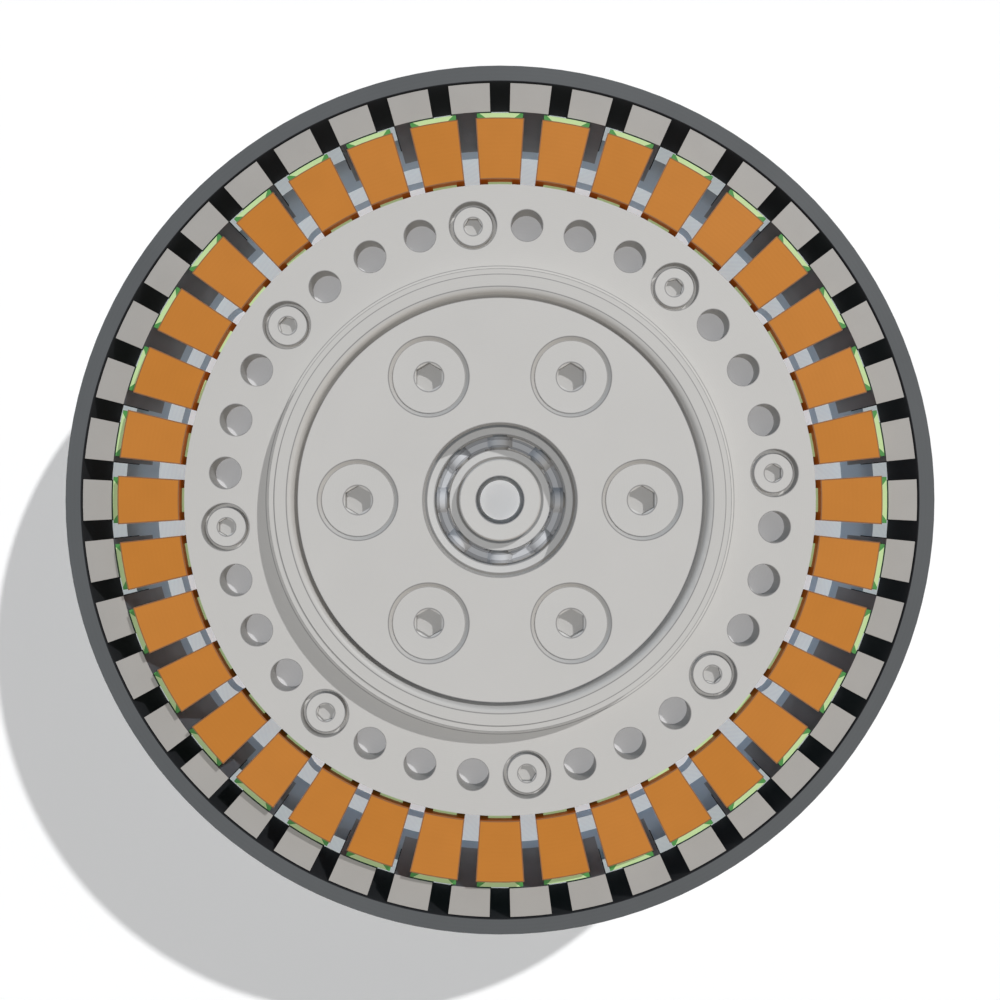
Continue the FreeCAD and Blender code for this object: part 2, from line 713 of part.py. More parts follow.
tapping = cut(body, "hub_tapping", HUB_TOP, "plate_screw_length + 1",
              circles=[("flange_bolt_radius", "0", "plate_screw_radius")])
repeat(body, "hub_tappings", [tapping], FLANGE_SCREWS)
spin(body, FLANGE_TURN)
nodes.append(body)

# The front plate: a flange over the stack, a boss with a lip and a skirt around the output bearing.
body = new_body("front_plate")
turn(body, "plate_turn", [
    (OUTPUT_OUTER, BEARING_FOOT),
    (RING_OUTER, BEARING_FOOT),
    (RING_OUTER, HUB_TOP),
    (YOKE_BORE, HUB_TOP),
    (YOKE_BORE, STACK_TOP),
    (PLATE_RADIUS, STACK_TOP),
    (PLATE_RADIUS, PLATE_TOP),
    ("%s + boss_foot_width" % BOSS_RADIUS, PLATE_TOP),
    ("%s + boss_foot_width" % BOSS_RADIUS, "%s + boss_foot_height" % PLATE_TOP),
    (BOSS_RADIUS, "%s + boss_foot_height" % PLATE_TOP),
    (BOSS_RADIUS, "%s - boss_rim_depth" % BOSS_TOP),
    ("%s - boss_rim_width" % BOSS_RADIUS, "%s - boss_rim_depth" % BOSS_TOP),
    ("%s - boss_rim_width" % BOSS_RADIUS, BOSS_TOP),
    ("%s + boss_bore_round" % BOSS_BORE, BOSS_TOP,
     "%s + boss_bore_round" % BOSS_BORE, "%s - boss_bore_round" % BOSS_TOP),
    (BOSS_BORE, "%s - boss_bore_round" % BOSS_TOP),
    (BOSS_BORE, BEARING_TOP),
    (OUTPUT_OUTER, BEARING_TOP),
])
mount_holes = []
for place in range(1, FLANGE_PLACES // FLANGE_SCREWS):
    angle = math.radians(place * 360.0 / FLANGE_PLACES)
    hole = cut(body, "mount_hole_%d" % place, PLATE_TOP, "plate_thickness", circles=[
        ("flange_bolt_radius * %.9f" % math.cos(angle), "flange_bolt_radius * %.9f" % math.sin(angle),
         "mount_hole_radius")])
    mount_holes.append(hole)
shank = cut(body, "plate_screw_hole", PLATE_TOP, "plate_thickness",
            circles=[("flange_bolt_radius", "0", "plate_screw_radius + 0.2")])
sunk = cut(body, "plate_screw_seat", PLATE_TOP, "plate_screw_head_height + plate_screw_recess",
           circles=[("flange_bolt_radius", "0", "plate_counterbore_radius")])
repeat(body, "plate_holes", mount_holes + [shank, sunk], FLANGE_SCREWS)
spin(body, FLANGE_TURN)
nodes.append(body)

# A ring that holds the output bearing against the lip of the boss.
body = new_body("bearing_retainer")
turn(body, "retainer_turn", [
    (RETAINER_BORE, RING_TOP),
    (RING_OUTER, RING_TOP),
    (RING_OUTER, BEARING_FOOT),
    (RETAINER_BORE, BEARING_FOOT),
])
nodes.append(body)

# The fixed ring gear. A ring tooth faces each planet's centre.
ring_pitch = module * RING_TEETH / 2
ring_height = number(RING_TOP) - number(RING_FOOT)
space = gear_face(RING_TEETH, ring_pitch - TIP_HEIGHT * module, ring_pitch + ROOT_DEPTH * module,
                  -number("gear_backlash"), math.pi / RING_TEETH)
ring_shape = Part.makeCylinder(number(RING_OUTER), ring_height).cut(
    space.extrude(FreeCAD.Vector(0, 0, ring_height)))
ring = feature("ring_gear", ring_shape)
ring.Placement = FreeCAD.Placement(FreeCAD.Vector(0, 0, number(RING_FOOT)), FreeCAD.Rotation())
nodes.append(ring)

# Three planets with plain bushes. Each shows a tooth space to the sun and to the ring on its centre line.
planet_pitch = module * PLANET_TEETH / 2
bush_outer = number("pin_radius + bush_gap + bush_wall")
planet_shape = gear_face(
    PLANET_TEETH, planet_pitch - ROOT_DEPTH * module, planet_pitch + TIP_HEIGHT * module,
    number("gear_backlash"), math.pi / PLANET_TEETH,
).extrude(FreeCAD.Vector(0, 0, number("planet_face"))).cut(
    Part.makeCylinder(bush_outer, number("planet_face")))
for place in range(PLANETS):
    angle = 360.0 / PLANETS * place
    seat = FreeCAD.Vector(
        number(CENTRES) * math.cos(math.radians(angle)),
        number(CENTRES) * math.sin(math.radians(angle)),
        number(PLANET_FOOT))
    planet = feature("planet_gear_%d" % (place + 1), planet_shape)
    planet.Placement = FreeCAD.Placement(seat, FreeCAD.Rotation(FreeCAD.Vector(0, 0, 1), angle))
    nodes.append(planet)
    body = new_body("planet_bush_%d" % (place + 1))
    pad(body, body.Label + "_tube", PLANET_FOOT, "planet_face", circles=[
        (CENTRES, "0", "pin_radius + bush_gap + bush_wall"), (CENTRES, "0", "pin_radius + bush_gap")])
    spin(body, angle)
    nodes.append(body)

# The output disc with its bearing neck and six countersunk holes.
body = new_body("output_flange")
turn(body, "flange_turn", [
    ("centre_bearing_outer - bearing_lip", OUTPUT_FOOT),
    (OUTPUT_BORE, OUTPUT_FOOT),
    (OUTPUT_BORE, "%s - circlip_thickness" % BEARING_FOOT),
    ("%s - circlip_depth" % OUTPUT_BORE, "%s - circlip_thickness" % BEARING_FOOT),
    ("%s - circlip_depth" % OUTPUT_BORE, BEARING_FOOT),
    (OUTPUT_BORE, BEARING_FOOT),
    (OUTPUT_BORE, BEARING_TOP),
    (OUTPUT_SHOULDER, BEARING_TOP),
    (OUTPUT_SHOULDER, "%s - output_thickness" % BOSS_TOP),
    (OUTPUT_RADIUS, "%s - output_thickness" % BOSS_TOP),
    (OUTPUT_RADIUS, BOSS_TOP),
    ("centre_bearing_outer", BOSS_TOP),
    ("centre_bearing_outer", CENTRE_FOOT),
    ("centre_bearing_outer - bearing_lip", CENTRE_FOOT),
])
screw_bore = "(output_screw_radius + output_screw_gap)"
sink = turn(body, "countersink", [
    (CENTRES, OUTPUT_FOOT),
    ("%s + %s" % (CENTRES, screw_bore), OUTPUT_FOOT),
    ("%s + %s" % (CENTRES, screw_bore), "%s - countersink_radius + %s" % (BOSS_TOP, screw_bore)),
    ("%s + countersink_radius" % CENTRES, BOSS_TOP),
    (CENTRES, BOSS_TOP),
], kind="PartDesign::Groove", across=CENTRES)
repeat(body, "countersinks", [sink], OUTPUT_SCREWS)
nodes.append(body)

# Countersunk screws that hold the disc to the carrier's posts and to the planet pins.
body = new_body("output_screws")
head_edge = "(%s - countersink_radius + output_screw_head_radius)" % BOSS_TOP
head_top = "(%s - output_screw_recess)" % BOSS_TOP
stem = turn(body, "output_screw", [
    (CENTRES, "%s - output_screw_length" % head_top),
    ("%s + output_screw_radius" % CENTRES, "%s - output_screw_length" % head_top),
    ("%s + output_screw_radius" % CENTRES,
     "%s - output_screw_head_radius + output_screw_radius" % head_edge),
    ("%s + output_screw_head_radius" % CENTRES, head_edge),
    ("%s + output_screw_head_radius" % CENTRES, head_top),
    (CENTRES, head_top),
], across=CENTRES)
socket = cut(body, "output_socket", head_top, "output_screw_key * 0.6",
             hexagon(CENTRES, "output_screw_key", OUTPUT_SOCKET_LEAN))
rim = turn(body, "output_bevel", [
    (CENTRES, head_top),
    ("%s + socket_bevel_radius_ratio * output_screw_key" % CENTRES, head_top),
    (CENTRES, "%s - socket_bevel_radius_ratio * output_screw_key * 0.5" % head_top),
], kind="PartDesign::Groove", across=CENTRES)
repeat(body, "output_screw_ring", [stem, socket, rim], OUTPUT_SCREWS)
nodes.append(body)

# The rear half of the planet carrier, with three posts between the planets.
tap_depth = "(%s - %s + output_screw_length + 0.5)" % (OUTPUT_FOOT, head_top)
body = new_body("planet_carrier")
turn(body, "carrier_turn", [
    ("rear_bearing_bore + shaft_clearance", CARRIER_FOOT),
    (CARRIER_RADIUS, CARRIER_FOOT),
    (CARRIER_RADIUS, CARRIER_TOP),
    ("rear_bearing_bore + shaft_clearance", CARRIER_TOP),
])
turned = 180.0 / PLANETS
post_spot = ("%s * %.9f" % (CENTRES, math.cos(math.radians(turned))),
             "%s * %.9f" % (CENTRES, math.sin(math.radians(turned))))
post = pad(body, "post", "%s - 1" % CARRIER_TOP, "%s - %s + 1" % (OUTPUT_FOOT, CARRIER_TOP),
           circles=[post_spot + ("post_radius",)])
repeat(body, "posts", [post], PLANETS)
tap = cut(body, "post_tapping", OUTPUT_FOOT, tap_depth, circles=[post_spot + ("output_screw_radius",)])
pin_seat = cut(body, "pin_seat", CARRIER_TOP, "carrier_plate_thickness",
               circles=[(CENTRES, "0", "pin_radius")])
repeat(body, "carrier_holes", [tap, pin_seat], PLANETS)
nodes.append(body)

# Planet pins, drilled and tapped for the screws through the output disc.
body = new_body("planet_pins")
rod = pad(body, "pin", CARRIER_FOOT, "%s - %s" % (OUTPUT_FOOT, CARRIER_FOOT),
          circles=[(CENTRES, "0", "pin_radius")])
tap = cut(body, "pin_tapping", OUTPUT_FOOT, tap_depth, circles=[(CENTRES, "0", "output_screw_radius")])
repeat(body, "pins", [rod, tap], PLANETS)
nodes.append(body)

# A snap ring in the neck behind the output bearing's inner race.
body = new_body("output_circlip")
turn(body, "circlip_turn", [
    ("%s - circlip_depth" % OUTPUT_BORE, "%s - circlip_thickness" % BEARING_FOOT),
    ("%s + circlip_rise" % OUTPUT_BORE, "%s - circlip_thickness" % BEARING_FOOT),
    ("%s + circlip_rise" % OUTPUT_BORE, BEARING_FOOT),
    ("%s - circlip_depth" % OUTPUT_BORE, BEARING_FOOT),
])
cut(body, "circlip_gap", BEARING_FOOT, "circlip_thickness", [
    ("%s - circlip_depth - 1" % OUTPUT_BORE, "-2"),
    ("%s + circlip_rise + 1" % OUTPUT_BORE, "-2"),
    ("%s + circlip_rise + 1" % OUTPUT_BORE, "2"),
    ("%s - circlip_depth - 1" % OUTPUT_BORE, "2"),
])
nodes.append(body)

# Three open ball bearings: under the output disc, in the disc's centre and behind the gears.
for name, bore, outer, foot, count in (
    ("output", OUTPUT_BORE, OUTPUT_OUTER, BEARING_FOOT, OUTPUT_BALLS),
    ("centre", "centre_bearing_bore", "centre_bearing_outer", CENTRE_FOOT, CENTRE_BALLS),
    ("rear", "rear_bearing_bore", "rear_bearing_outer", "rear_bearing_seat", REAR_BALLS),
):
    sizes = (bore, outer, foot, "%s_bearing_width" % name, "%s_ball_radius" % name)
    for which in ("outer", "inner"):
        body = new_body("%s_bearing_%s" % (name, which))
        race(body, body.Label + "_turn", *sizes, which)
        nodes.append(body)
    body = new_body("%s_bearing_balls" % name)
    balls(body, body.Label + "_ball", *sizes, count)
    nodes.append(body)
    body = new_body("%s_bearing_cage" % name)
    cage(body, body.Label + "_ribbon", *sizes, count)
    nodes.append(body)

doc.recompute()

faults = []
for thing in doc.Objects:
    if "Invalid" in thing.State or "Error" in thing.State:
        faults.append("%s is in state %s" % (thing.Name, thing.State))
for node in nodes:
    if node.Shape.isNull() or not node.Shape.isValid() or not node.Shape.Solids:
        faults.append("%s has no valid solid" % node.Label)
if faults:
    raise RuntimeError("; ".join(faults))

os.makedirs("parts", exist_ok=True)
for node in nodes:
    node.Shape.exportStep("parts/%s.step" % node.Label)
    print("%-24s %3d solids %10.1f mm3" % (node.Label, len(node.Shape.Solids), node.Shape.Volume))
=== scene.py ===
# %% [markdown]
# # An open-frame outrunner actuator
# The object is a flat motor that lies on its back: a cup of magnets turns round a ring of windings,
# and a planetary gear inside the windings turns the disc in the middle.
# Every solid piece already exists as a packed model with real sizes, so this lesson is about
# finishes: which metal each piece is, how it was cut, and how light shows that.
# The first cell brings the packed pieces in and keeps their box, which sets the floor's height.

# %% Bring in the packed pieces
import math
from functools import cached_property

import bpy
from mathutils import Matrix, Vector


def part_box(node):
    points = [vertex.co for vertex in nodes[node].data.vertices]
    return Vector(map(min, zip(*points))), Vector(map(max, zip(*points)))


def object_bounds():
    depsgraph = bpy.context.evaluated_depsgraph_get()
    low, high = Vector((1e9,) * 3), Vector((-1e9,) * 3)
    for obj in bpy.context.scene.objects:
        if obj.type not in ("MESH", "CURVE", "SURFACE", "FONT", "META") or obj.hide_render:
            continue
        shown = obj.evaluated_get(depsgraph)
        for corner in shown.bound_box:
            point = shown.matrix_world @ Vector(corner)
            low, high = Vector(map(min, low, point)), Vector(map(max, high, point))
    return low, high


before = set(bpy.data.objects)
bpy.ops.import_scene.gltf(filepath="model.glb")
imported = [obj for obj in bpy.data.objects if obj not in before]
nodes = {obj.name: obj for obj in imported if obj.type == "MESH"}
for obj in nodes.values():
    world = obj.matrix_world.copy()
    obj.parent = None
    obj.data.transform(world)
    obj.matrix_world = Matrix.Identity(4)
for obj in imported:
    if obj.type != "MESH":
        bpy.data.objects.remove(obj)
cad_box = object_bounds()
print("pieces:", len(nodes), "box in mm:", [round(1000 * c, 1) for v in cad_box for c in v])

# %% [markdown]
# Shader maths reads badly as a web of Math nodes, so a small class wraps one output socket.
# Adding or multiplying two wrapped sockets, or a socket and a number, adds the Math node for it.
# A comparison gives a mask: 1 where it holds, 0 elsewhere.

# %% A socket that can be used in an expression
class Value:
    """One output socket: a number, a vector or a colour that varies over a surface."""

    def __init__(self, tree, socket):
        self.tree = tree
        self.socket = socket

    def math(self, operation, *others):
        return self.tree.node("ShaderNodeMath", {"operation": operation}, [self, *others])

    def after(self, operation, first):
        return self.tree.node("ShaderNodeMath", {"operation": operation}, [first, self])

    def __add__(self, other):
        return self.math("ADD", other)

    def __sub__(self, other):
        return self.math("SUBTRACT", other)

    def __mul__(self, other):
        return self.math("MULTIPLY", other)

    def __truediv__(self, other):
        return self.math("DIVIDE", other)

    def __pow__(self, other):
        return self.math("POWER", other)

    def __rsub__(self, other):
        return self.after("SUBTRACT", other)

    def __rtruediv__(self, other):
        return self.after("DIVIDE", other)

    def __rpow__(self, other):
        return self.after("POWER", other)

    def __gt__(self, other):
        return self.math("GREATER_THAN", other)

    def __lt__(self, other):
        return self.math("LESS_THAN", other)

    def __abs__(self):
        return self.math("ABSOLUTE")

    __radd__ = __add__
    __rmul__ = __mul__


print("operators of a socket: + - * / ** > < and abs")

# %% [markdown]
# All other nodes come from one method of the tree that they stand in. It takes the node's type,
# its settings and what goes into its sockets. Colours go through a Mix node, because a Math node
# would turn them grey.

# %% A node tree that grows by one method
class Tree:
    """A node tree whose nodes are added one by one."""

    def __init__(self, tree):
        self.tree = tree

    def feed(self, socket, value):
        """Links a wrapped socket, or writes a plain value."""
        if isinstance(value, Value):
            self.tree.links.new(value.socket, socket)
        else:
            socket.default_value = value

    def node(self, kind, settings=None, sockets=(), out=0):
        """Adds a node: its settings first, then its sockets by place or by name."""
        made = self.tree.nodes.new(kind)
        for name, value in (settings or {}).items():
            setattr(made, name, value)
        pairs = sockets.items() if isinstance(sockets, dict) else enumerate(sockets)
        for key, value in pairs:
            self.feed(made.inputs[key], value)
        return Value(self, made.outputs[out])

    def split(self, vector):
        """The three numbers of a vector."""
        first = self.node("ShaderNodeSeparateXYZ", sockets=[vector])
        return [Value(self, socket) for socket in first.socket.node.outputs]

    def blend(self, mask, first, second):
        """The first colour where the mask is 0, the second one where it is 1."""
        ends = [c if isinstance(c, Value) else (*c, 1.0) for c in (first, second)]
        return self.node("ShaderNodeMix", {"data_type": "RGBA"},
                         {0: mask, 6: ends[0], 7: ends[1]}, out=2)


print("a tree has the methods", [m for m in dir(Tree) if m[0] != "_"])

# %% [markdown]
# A finish is one material. It ends in a Principled shader, which has a socket for each thing that
# light meets, such as colour, roughness or metal. What is the same all over a piece is written on
# that socket, and only what varies comes from nodes, which keeps the tree small.

# %% A finish is a material
class Finish(Tree):
    """A material whose shader is fed by the name of its sockets, with _ for a space."""

    def __init__(self, name, **constants):
        self.material = bpy.data.materials.new(name)
        self.material.use_nodes = True
        super().__init__(self.material.node_tree)
        self.shader = self.tree.nodes["Principled BSDF"]
        self.give(**constants)

    def give(self, **sockets):
        """Feeds the shader itself."""
        for name, value in sockets.items():
            self.feed(self.shader.inputs[name.replace("_", " ")], value)
        return self.material


print("a finish adds the methods", [m for m in vars(Finish) if m[0] != "_"])

# %% [markdown]
# Most of these pieces were turned on a lathe, so the distance from the axis says a lot about a
# point. The pieces keep their place in their meshes, so Object coordinates are millimetres from the
# axis after one scaling, on every piece alike, and they turn with the piece. The object's own
# normal tells a level face from a wall, also when the piece has turned.

# %% Where a point lies on the part
MM = 0.001
LEVEL = 0.5


def length(across, along):
    """The length of a vector with those two parts."""
    return (across * across + along * along) ** 0.5


class Spot:
    """A point on the unturned piece, in millimetres. Its nodes are added when they are needed."""

    def __init__(self, finish):
        self.finish = finish
        metres = finish.node("ShaderNodeTexCoord", out="Object")
        self.vector = finish.node("ShaderNodeVectorMath", {"operation": "SCALE"},
                                  {"Vector": metres, "Scale": 1 / MM})
        self.x, self.y, self.z = finish.split(self.vector)

    @cached_property
    def radius(self):
        """Distance from the axis."""
        return length(self.x, self.y)

    @cached_property
    def up(self):
        """How far the surface looks along +Z: 1 on a level face, 0 on a wall."""
        return self.finish.split(self.finish.node("ShaderNodeTexCoord", out="Normal"))[2]

    @cached_property
    def level(self):
        """1 on faces that look up, 0 on walls."""
        return self.up > LEVEL

    def noise(self, scale, detail=3.0):
        """A soft random value from 0 to 1. The larger the scale, the finer it is."""
        return self.finish.node("ShaderNodeTexNoise", {"noise_dimensions": "3D"},
                                {"Vector": self.vector, "Scale": scale, "Detail": detail})


print("one unit of place is", MM, "m")

# %% [markdown]
# Many pieces repeat round the axis: teeth, holes, screws. Each could get its own mask, but folding
# the angle into the nearest repeat gives every one of them the same two coordinates, along its own
# radius and beside it, so one formula marks them all.

# %% Fold the angle
def folded(spot, count, turn=0.0):
    """Distance along the radius of the nearest repeat, and to the side of it; turn in degrees."""
    sector = 2 * math.pi / count
    start = math.radians(turn)
    angle = spot.y.math("ARCTAN2", spot.x)
    nearest = ((angle - start) / sector).math("ROUND") * sector + start
    cosine, sine = nearest.math("COSINE"), nearest.math("SINE")
    return spot.x * cosine + spot.y * sine, spot.y * cosine - spot.x * sine


def from_repeat(spot, circle, count, turn=0.0):
    """Distance from the centre of the nearest repeat on a circle."""
    along, aside = folded(spot, count, turn)
    return length(along - circle, aside)


print("folding: 8 repeats are", 360 / 8, "degrees apart")

# %% [markdown]
# Real metal is never one even colour. A coarse noise, called cloud below, shifts each colour by
# some per cent, and the marks of the tool come as a sine. They could be cut into the mesh, but they
# are only some micrometres deep, so a Bump node bends the normal as if they were there.

# %% Shades, waves and relief
RELIEF_STRENGTH = 0.35


def shade(colour, by):
    """The same colour, lighter or darker."""
    return tuple(min(1.0, c * by) for c in colour)


def varied(finish, factor, colour, spread):
    """The colour, darker where the factor is 0 and lighter where it is 1."""
    return finish.blend(factor, shade(colour, 1 - spread), shade(colour, 1 + spread))


def wave(phase):
    """A sine from 0 to 1."""
    return phase.math("SINE") * 0.5 + 0.5


def relief(finish, height, depth):
    """The normal of a surface with that relief, depth in metres."""
    return finish.node("ShaderNodeBump", sockets={
        "Height": height, "Strength": RELIEF_STRENGTH, "Distance": depth})


print("a spread of 5 % turns 0.50 into", shade((0.5,), 0.95)[0], "to", shade((0.5,), 1.05)[0])

# %% [markdown]
# A level face gets a dark line right at its edge, which is painted shade standing in for the
# shade of the edge. A Bevel node could find edges, but it is noisy and slow. Most edges of these
# faces are circles, so the line is drawn by distance alone, and the object's own normal keeps it
# off the walls below the edge. The width is in millimetres, as all sizes below are.

# %% Lines along edges
LINE_WIDTH = 0.13
LINE_DEPTH = 0.78
LINE_LEVEL = 0.7
# painted shade: the colour of the dark lines drawn along edges
EDGE_SHADE = (0.06, 0.06, 0.065)


def lined(spot, colour, gaps):
    """The colour with a line of painted shade where one of the distances to an edge is small."""
    lines = 0.0
    for gap in gaps:
        lines = (1 - abs(gap) / LINE_WIDTH).math("MAXIMUM", lines)
    return spot.finish.blend(lines * (spot.up > LINE_LEVEL) * LINE_DEPTH, colour, EDGE_SHADE)


print("edge lines are", LINE_WIDTH, "mm to each side")

# %% [markdown]
# Turned metal is the common finish here: the front plate, the output disc, the shaft, the screws,
# the bearings. The rings are a sine of the distance from the axis, broken up by noise so that they
# don't look printed, and the roughness follows them. Two functions of the spot may add to it: one
# names the edges that get a line of painted shade, the other the places where shade is painted into
# the colour, such as drilled walls. The hub is covered by the plate, so it needs neither.

# %% Turned metal
TOOL_DEPTH = 0.006 * MM
RING_WANDER = 3.0
ROUGH_SPAN = 0.16
# painted shade: how dark the colour is written where shade is painted
PAINTED_SHADE_FACTOR = 0.62


def turned(name, colour, pitch, metallic, rough, edges=None, painted_shade=None, painted_shade_colour=None):
    """Metal with the rings of a lathe tool, and painted shade along its edges and in some places.
    """
    finish = Finish(name, Metallic=metallic)
    spot = Spot(finish)
    cloud = spot.noise(scale=0.11)
    grain = spot.noise(scale=1.9, detail=4.0)
    rings = wave(spot.radius * (2 * math.pi / pitch) + cloud * RING_WANDER)
    wear = cloud * 0.6 + grain * 0.25 + rings * 0.15
    skin = varied(finish, wear, colour, spread=0.04)
    if edges:
        skin = lined(spot, skin, edges(spot))
    if painted_shade:
        skin = finish.blend(painted_shade(spot), skin, painted_shade_colour or shade(colour, PAINTED_SHADE_FACTOR))
    return finish.give(
        Base_Color=skin,
        Roughness=wear * ROUGH_SPAN + (rough - ROUGH_SPAN / 2),
        Normal=relief(finish, rings * 0.7 + grain * 0.3, TOOL_DEPTH),
    )


hub_finish = turned("hub_aluminium", (0.56, 0.555, 0.56), pitch=0.50, metallic=0.06, rough=0.50)
print("turned finish:", hub_finish.name)

# %% [markdown]
# The front plate is a flange with a boss. Eight screws sit sunk in the flange, with three open
# holes between each two of them, all on one circle, so the fold marks their rims. The walls of the
# drilled holes get painted shade, and the round of the boss's lip a little. A set of
# screws is written as the radius of its circle, their count, and the turn of the first in degrees.

# %% Front plate
FLANGE_SCREWS = (40.0, 8, 5.625)
HOLES_BETWEEN = 3
HOLE, COUNTERBORE = 2.31, 3.46
BOSS_EDGES = (33.9, 33.0, 32.15, 30.4)
# painted shade: how much the round of the boss's lip is darkened
LIP_PAINTED_SHADE = 0.2


def plate_edges(spot):
    """The steps of the boss, the seats of the screws, and the open holes between them."""
    circle, count, turn = FLANGE_SCREWS
    step = 360.0 / count / (HOLES_BETWEEN + 1)
    edges = [spot.radius - edge for edge in BOSS_EDGES]
    edges.append(from_repeat(spot, *FLANGE_SCREWS) - COUNTERBORE)
    for hole in range(1, HOLES_BETWEEN + 1):
        edges.append(from_repeat(spot, circle, count, turn + hole * step) - HOLE)
    return edges


def plate_painted_shade(spot):
    """Painted shade on the drilled walls in the flange, and a little on the round of the boss's
    lip.
    """
    drilled = (spot.radius > BOSS_EDGES[0]) * (1 - spot.level)
    return drilled + (spot.radius < BOSS_EDGES[-1]) * LIP_PAINTED_SHADE


plate_finish = turned("plate_aluminium", (0.490, 0.479, 0.462), pitch=0.34, metallic=0.06,
                      rough=0.56, edges=plate_edges, painted_shade=plate_painted_shade)
print("plate finish:", plate_finish.name, "with", FLANGE_SCREWS[1] * HOLES_BETWEEN, "holes")

# %% [markdown]
# The output disc turns inside the boss. It is faced on the same kind of lathe, with six countersunk
# seats and a bore over the bearing. The wall of the bore and the cones of the seats get painted
# shade.

# %% Output disc
OUTPUT_SCREWS = (20.25, 6, 0.0)
DISC, DISC_BORE, COUNTERSINK = 28.8, 11.0, 5.75
# painted shade: how much the bore wall and the countersink cones are darkened
BORE_PAINTED_SHADE, CONE_PAINTED_SHADE = 0.65, 0.3
BORE_EDGE = 0.02


def disc_edges(spot):
    """The rim of the disc, its bore and the countersinks."""
    return [spot.radius - DISC, spot.radius - DISC_BORE,
            from_repeat(spot, *OUTPUT_SCREWS) - COUNTERSINK]


def disc_painted_shade(spot):
    """Painted shade on the wall of the bore, and a little on the countersinks."""
    bore = spot.radius < DISC_BORE + BORE_EDGE
    cone = from_repeat(spot, *OUTPUT_SCREWS) < COUNTERSINK
    return bore * BORE_PAINTED_SHADE + cone * CONE_PAINTED_SHADE


disc_finish = turned("disc_aluminium", (0.500, 0.489, 0.473), pitch=0.27, metallic=0.06,
                     rough=0.55, edges=disc_edges, painted_shade=disc_painted_shade)
print("disc finish:", disc_finish.name, "with", OUTPUT_SCREWS[1], "countersinks")

# %% [markdown]
# The cup that carries the magnets is aluminium too, a little bluer. Its spokes were milled, so
# the tool marks run across them in arcs, not round the axis: a sine of the distance from a point
# beside it. The floor lies in the shade of the windings, so it is written paler than bare metal,
# which is painted light. The wall inside is written darker and bluer, which is painted shade; the
# outside and the back are plain, and the seats of the magnets are black with glue. Masks choose
# between these: level, outside or below, and at the seats' height.

# %% Milled cup
MAGNET_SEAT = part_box("magnets_north")[0][2] / MM
SEAT_HEIGHT = 0.3
WALL_MASK = 2.2  # a little less than the ring's wall, so that its bore lies inside BORE
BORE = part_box("flux_ring")[1][0] / MM - WALL_MASK
MILL_X, MILL_Y = 38.0, -17.0
MILL_RATE = 9.0  # radians of the wave per millimetre
MILL_WANDER = 2.0
MILL_DEPTH = 0.005 * MM
GLUE = (0.009, 0.010, 0.012)


def milled(name, floor, wall_shade, outside):
    """Aluminium with the crossing arcs of a face mill, painted light on the floor, painted shade on
    the wall inside, and glue on the seats of the magnets.
    """
    finish = Finish(name, Metallic=0.05, Specular_IOR_Level=0.3)
    spot = Spot(finish)
    cloud = spot.noise(scale=0.09)
    arcs = wave(length(spot.x - MILL_X, spot.y - MILL_Y) * MILL_RATE + cloud * MILL_WANDER)
    mix = cloud * 0.7 + arcs * 0.3
    outer = (spot.radius > BORE).math("MAXIMUM", spot.up < -LEVEL)
    seat = spot.level * (abs(spot.z - MAGNET_SEAT) < SEAT_HEIGHT)
    sides = finish.blend(outer, varied(finish, mix, wall_shade, spread=0.05), outside)
    bare = finish.blend(spot.level, sides, varied(finish, mix, floor, spread=0.05))
    return finish.give(
        Base_Color=finish.blend(seat, bare, GLUE),
        Roughness=0.42 + mix * 0.18,
        Normal=relief(finish, arcs, MILL_DEPTH),
    )


# the floor colour is painted light, the wall colour painted shade
cup_finish = milled("cup_aluminium", floor=(0.88, 0.95, 1.00), wall_shade=(0.275, 0.35, 0.43),
                    outside=(0.54, 0.55, 0.56))
print("milled finish:", cup_finish.name, "with seats at", round(MAGNET_SEAT, 2), "mm")

# %% [markdown]
# The flux ring is plain steel with a black oxide skin. Such a skin is uneven, darker and paler in
# clouds, with specks that are rubbed paler, and the lathe's rings show through it faintly. Its bore
# is black with the adhesive that holds the magnets: there the distance from the axis picks the
# darker colour, and the roughness goes up so that it doesn't shine.

# %% Black oxide
RATE_DOWN, RATE_ACROSS = 7.5, 11.0  # radians of the wave per millimetre
RUB_FROM, RUB_GAIN = 0.42, 2.0


def oxide(name, colour):
    """Blackened steel, cloudy and a little rubbed, with glue in its bore."""
    finish = Finish(name, Specular_IOR_Level=0.3)
    spot = Spot(finish)
    cloud = spot.noise(scale=0.07, detail=5.0)
    speck = spot.noise(scale=2.6, detail=2.0)
    rings = wave(spot.z * RATE_DOWN + spot.radius * RATE_ACROSS)
    rub = (cloud - RUB_FROM) * RUB_GAIN * speck
    skin = varied(finish, cloud * 0.75 + rings * 0.1 + rub * 0.2, colour, spread=0.14)
    inside = spot.radius < BORE
    return finish.give(
        Base_Color=finish.blend(inside, skin, GLUE),
        Roughness=0.58 - cloud * 0.14 + speck * 0.08 + inside * 0.35,
        Normal=relief(finish, rings * 0.4 + speck * 0.6, TOOL_DEPTH),
    )


flux_finish = oxide("flux_steel", (0.082, 0.087, 0.091))
print("oxide finish:", flux_finish.name, "outside", round(BORE, 1), "mm")

# %% [markdown]
# The magnets are pressed blocks with a nickel skin. Nickel is a warm grey, satin from its bath,
# and the flanks get a dark painted shade, so one mask by the normal is enough. The two polarities
# sit alternately and look alike. Each has clouds of its own size, as two batches of plating would
# have.

# %% Nickel
PLATE = (0.340, 0.326, 0.307)
# painted shade: the dark colour written on the flanks of the magnets
MAGNET_FLANK_SHADE = (0.074, 0.090, 0.108)


